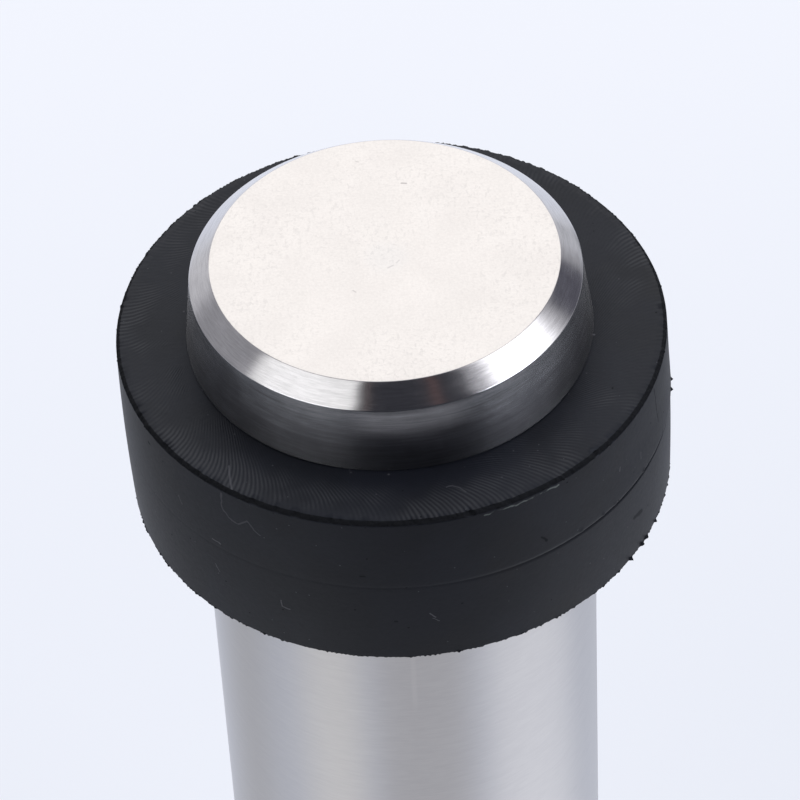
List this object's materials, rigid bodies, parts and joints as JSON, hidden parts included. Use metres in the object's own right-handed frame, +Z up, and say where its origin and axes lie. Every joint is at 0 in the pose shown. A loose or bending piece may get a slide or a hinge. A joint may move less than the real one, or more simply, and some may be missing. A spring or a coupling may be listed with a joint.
{
  "type": "floor door stop",
  "caption": "Cylindrical steel floor door stop with a rubber buffer ring under a chamfered screw-off head, held to the floor by a concealed sleeve anchor.",
  "frame": {"origin": "centre of the post at floor level, where the anchor's sleeve ends", "axes": "+Z up along the post's axis, +Y towards the side with the lock screw, and the anchor reaches below z = 0 into the floor"},
  "size_m": [0.0408, 0.0408, 0.146],
  "materials": {
    "head_steel": "faced top with a fine matt grain, polished chamfer, finely turned neck",
    "post_steel": "satin, brushed round the tube",
    "buffer_rubber": "matt black moulded rubber with trimmed edges",
    "insert_steel": "as turned",
    "screw_steel": "plain satin",
    "spring_steel": "plain spring steel",
    "plated_steel": "bright zinc plated",
    "gasket_rubber": "matt"
  },
  "bodies": {
    "post": {"post_tube": "post_steel", "top_insert": "insert_steel", "base_insert": "insert_steel", "head_lock_washer": "spring_steel", "floor_gasket": "gasket_rubber", "anchor_stud": "plated_steel", "expansion_sleeve": "plated_steel", "anchor_washer": "plated_steel", "anchor_spring_washer": "spring_steel", "anchor_nut": "plated_steel"},
    "head": {"head_cap": "head_steel", "head_stud": "plated_steel"},
    "buffer": {"buffer_ring": "buffer_rubber"},
    "lock": {"lock_screw": "screw_steel"}
  },
  "joints": [
    {"name": "head_unscrew", "type": "slide", "parent": "post", "child": "head", "axis": [0, 0, 1], "range_m": [0, 0.02]},
    {"name": "ring_turn", "type": "hinge", "parent": "head", "child": "buffer", "pos_m": [0, 0, 0.08625], "axis": [0, 0, 1], "continuous": true},
    {"name": "lock_screw_out", "type": "slide", "parent": "post", "child": "lock", "axis": [0, 1, 0], "range_m": [0, 0.003]}
  ]
}
